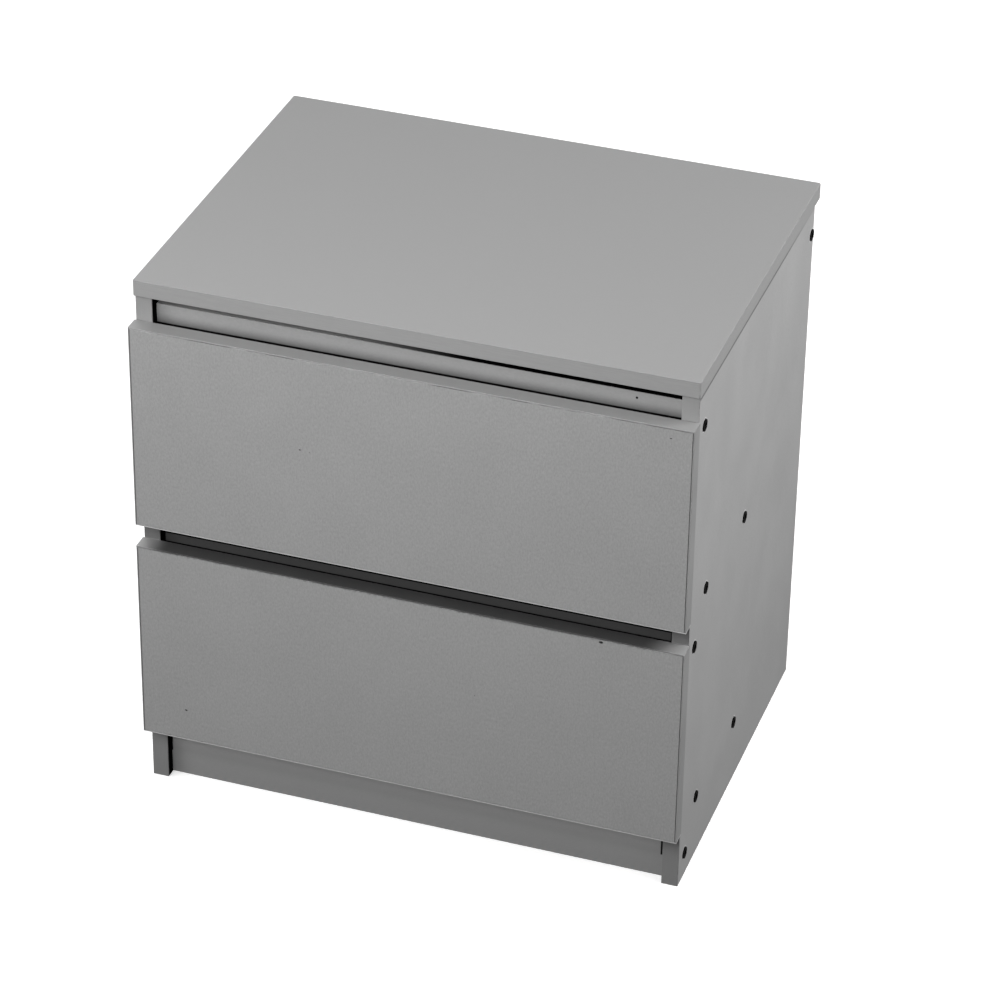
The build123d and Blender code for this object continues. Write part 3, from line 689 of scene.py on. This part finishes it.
def dress_hardware():
    black = metal_material("black_steel", BLACK_OXIDE, BLACK_OXIDE_DULL, middle_roughness=0.50,
                           metallic=0.0, specular=0.12)
    zinc = metal_material("zinc_steel", ZINC, ZINC_DULL, middle_roughness=0.34, metallic=1.0)
    pine = wood_material("pine", PINE, PINE_LATEWOOD, ALONG_Y, ring_size=3.2 * MM)
    beech = wood_material("beech", BEECH, BEECH_DARK, ALONG_X, ring_size=1.4 * MM)
    nylon = nylon_material("black_nylon")
    sides = ("right", "left")
    dress([f"{side}_{kind}_screws" for side in sides for kind in ("rail", "runner")], black)
    dress([f"{drawer}_{side}_runner" for drawer in DRAWERS for side in sides], pine)
    dress(["rail_dowels"] + [f"{drawer}_dowels" for drawer in DRAWERS], beech)
    dress(["top_brackets"], nylon)
    in_drawers = [f"{drawer}_{kind}" for drawer in DRAWERS
                  for kind in ("cams", "cam_bolts", "back_screws", "bottom_screws")]
    dress(["bracket_screws"] + in_drawers, zinc)


# ---------------------------------------------------------------- the studio
CAMERA_AZIMUTH = math.radians(18.32)
CAMERA_ELEVATION = math.radians(31.93)
CAMERA_ROLL = math.radians(-0.95)
CAMERA_DISTANCE = 2.88333
CAMERA_LENS = 144.82
CAMERA_SENSOR = 36.0
CAMERA_CLIP_START = 0.05
CAMERA_AIM = Vector((0.01592, 0.0, 0.19691))
COVE_RADIUS = 6.0
COVE_BEND = 2.0
COVE_HEIGHT = 7.0
COVE_STEPS = 8
COVE_SIDES = 64
FLOOR_GLOW = 0.42
FLOOR_WHITE = (0.93, 0.93, 0.93)
WORLD_GREY = (0.95, 0.95, 0.95)
WORLD_STRENGTH = 0.10
LIGHT_AIM = Vector((0.0, 0.0, 0.20))

# name: azimuth and elevation in degrees, distance, width and height in metres, power in watts
LIGHTS = {
    "front_left": (-55.0, 30.0, 2.6, 1.4, 1.4, 27.5),
    "front": (-10.0, 35.0, 1.2, 0.7, 0.6, 5.7),
    "front_low": (0.0, 22.0, 1.2, 0.7, 0.6, 1.5),
    "right": (105.0, 32.0, 1.3, 0.6, 0.6, 7.9),
    "right_low": (80.0, 24.0, 1.2, 0.6, 0.6, 3.6),
    "back": (220.0, 55.0, 2.2, 1.4, 1.0, 14.5),
    "rear_right": (160.0, 12.0, 2.4, 1.2, 1.0, 9.0),
    "rear_left": (232.0, 12.0, 2.4, 1.2, 1.0, 9.0),
    "overhead": (10.0, 84.0, 2.2, 1.6, 1.6, 5.6),
}


def direction(azimuth, elevation):
    """From the object towards azimuth, 0 in front and 90 to the right, at that elevation."""
    flat = math.cos(elevation)
    return Vector((math.sin(azimuth) * flat, -math.cos(azimuth) * flat, math.sin(elevation)))


def make_camera():
    """The camera, turned about its own axis by the roll."""
    back = direction(CAMERA_AZIMUTH, CAMERA_ELEVATION)
    right = (-back).cross(Vector(ALONG_Z)).normalized()
    down = (-back).cross(right)
    turned_right = math.cos(CAMERA_ROLL) * right + math.sin(CAMERA_ROLL) * down
    turned_up = math.sin(CAMERA_ROLL) * right - math.cos(CAMERA_ROLL) * down
    data = bpy.data.cameras.new("camera")
    data.lens = CAMERA_LENS
    data.sensor_width = CAMERA_SENSOR
    data.clip_start = CAMERA_CLIP_START
    camera = bpy.data.objects.new("camera", data)
    bpy.context.scene.collection.objects.link(camera)
    turn = Matrix((turned_right, turned_up, back)).transposed()
    camera.matrix_world = Matrix.Translation(CAMERA_AIM + back * CAMERA_DISTANCE) @ turn.to_4x4()
    bpy.context.scene.camera = camera


def make_light(name, azimuth, elevation, distance, width, height, power):
    data = bpy.data.lights.new(name, "AREA")
    data.shape = "RECTANGLE"
    data.size = width
    data.size_y = height
    data.energy = power
    light = bpy.data.objects.new(name, data)
    bpy.context.scene.collection.objects.link(light)
    out = direction(math.radians(azimuth), math.radians(elevation))
    light.location = LIGHT_AIM + out * distance
    light.rotation_mode = "QUATERNION"
    light.rotation_quaternion = (-out).to_track_quat("-Z", "Y")


def cove_profile():
    """Radius and height of points from the middle of the floor, round the bend, up the wall."""
    bend = [(COVE_RADIUS + COVE_BEND * math.sin(turn), COVE_BEND * (1.0 - math.cos(turn)))
            for turn in (math.pi / 2 * step / COVE_STEPS for step in range(COVE_STEPS + 1))]
    return [*bend, (COVE_RADIUS + COVE_BEND, COVE_HEIGHT)]


def make_floor():
    """A pale floor that bends up into a pale wall all round; it lights nothing by itself."""
    profile = cove_profile()
    turns = [2.0 * math.pi * step / COVE_SIDES for step in range(COVE_SIDES)]
    points = [(0.0, 0.0, 0.0)]
    points += [(reach * math.cos(turn), reach * math.sin(turn), height)
               for reach, height in profile for turn in turns]
    faces = [(0, 1 + step, 1 + (step + 1) % COVE_SIDES) for step in range(COVE_SIDES)]
    for ring in range(len(profile) - 1):
        start = 1 + ring * COVE_SIDES
        for step in range(COVE_SIDES):
            after = (step + 1) % COVE_SIDES
            faces.append((start + step, start + COVE_SIDES + step,
                          start + COVE_SIDES + after, start + after))
    mesh = bpy.data.meshes.new("floor")
    mesh.from_pydata(points, [], faces)
    mesh.shade_smooth()
    floor = bpy.data.objects.new("floor", mesh)
    bpy.context.scene.collection.objects.link(floor)
    surface = Surface("studio_floor")
    tone = surface.scaled(FLOOR_WHITE, surface.varied(surface.noise(size=0.5), 0.99, 1.0))
    surface.shader.inputs["Emission Color"].default_value = (1.0, 1.0, 1.0, 1.0)
    surface.shader.inputs["Emission Strength"].default_value = FLOOR_GLOW
    surface.shader.inputs["Specular IOR Level"].default_value = 0.0
    mesh.materials.append(surface.finish(tone, FLOOR_ROUGHNESS))
    floor.visible_diffuse = False
    floor.visible_glossy = False


def make_world():
    world = bpy.data.worlds.new("studio")
    world.use_nodes = True
    background = world.node_tree.nodes["Background"]
    background.inputs["Color"].default_value = (*WORLD_GREY, 1.0)
    background.inputs["Strength"].default_value = WORLD_STRENGTH
    bpy.context.scene.world = world


def make_studio():
    make_camera()
    make_floor()
    make_world()
    for name, numbers in LIGHTS.items():
        make_light(name, *numbers)
    bpy.context.scene.view_settings.view_transform = "Standard"


dress_case()
for drawer_name in DRAWERS:
    dress_drawer(drawer_name)
dress_hardware()
make_studio()
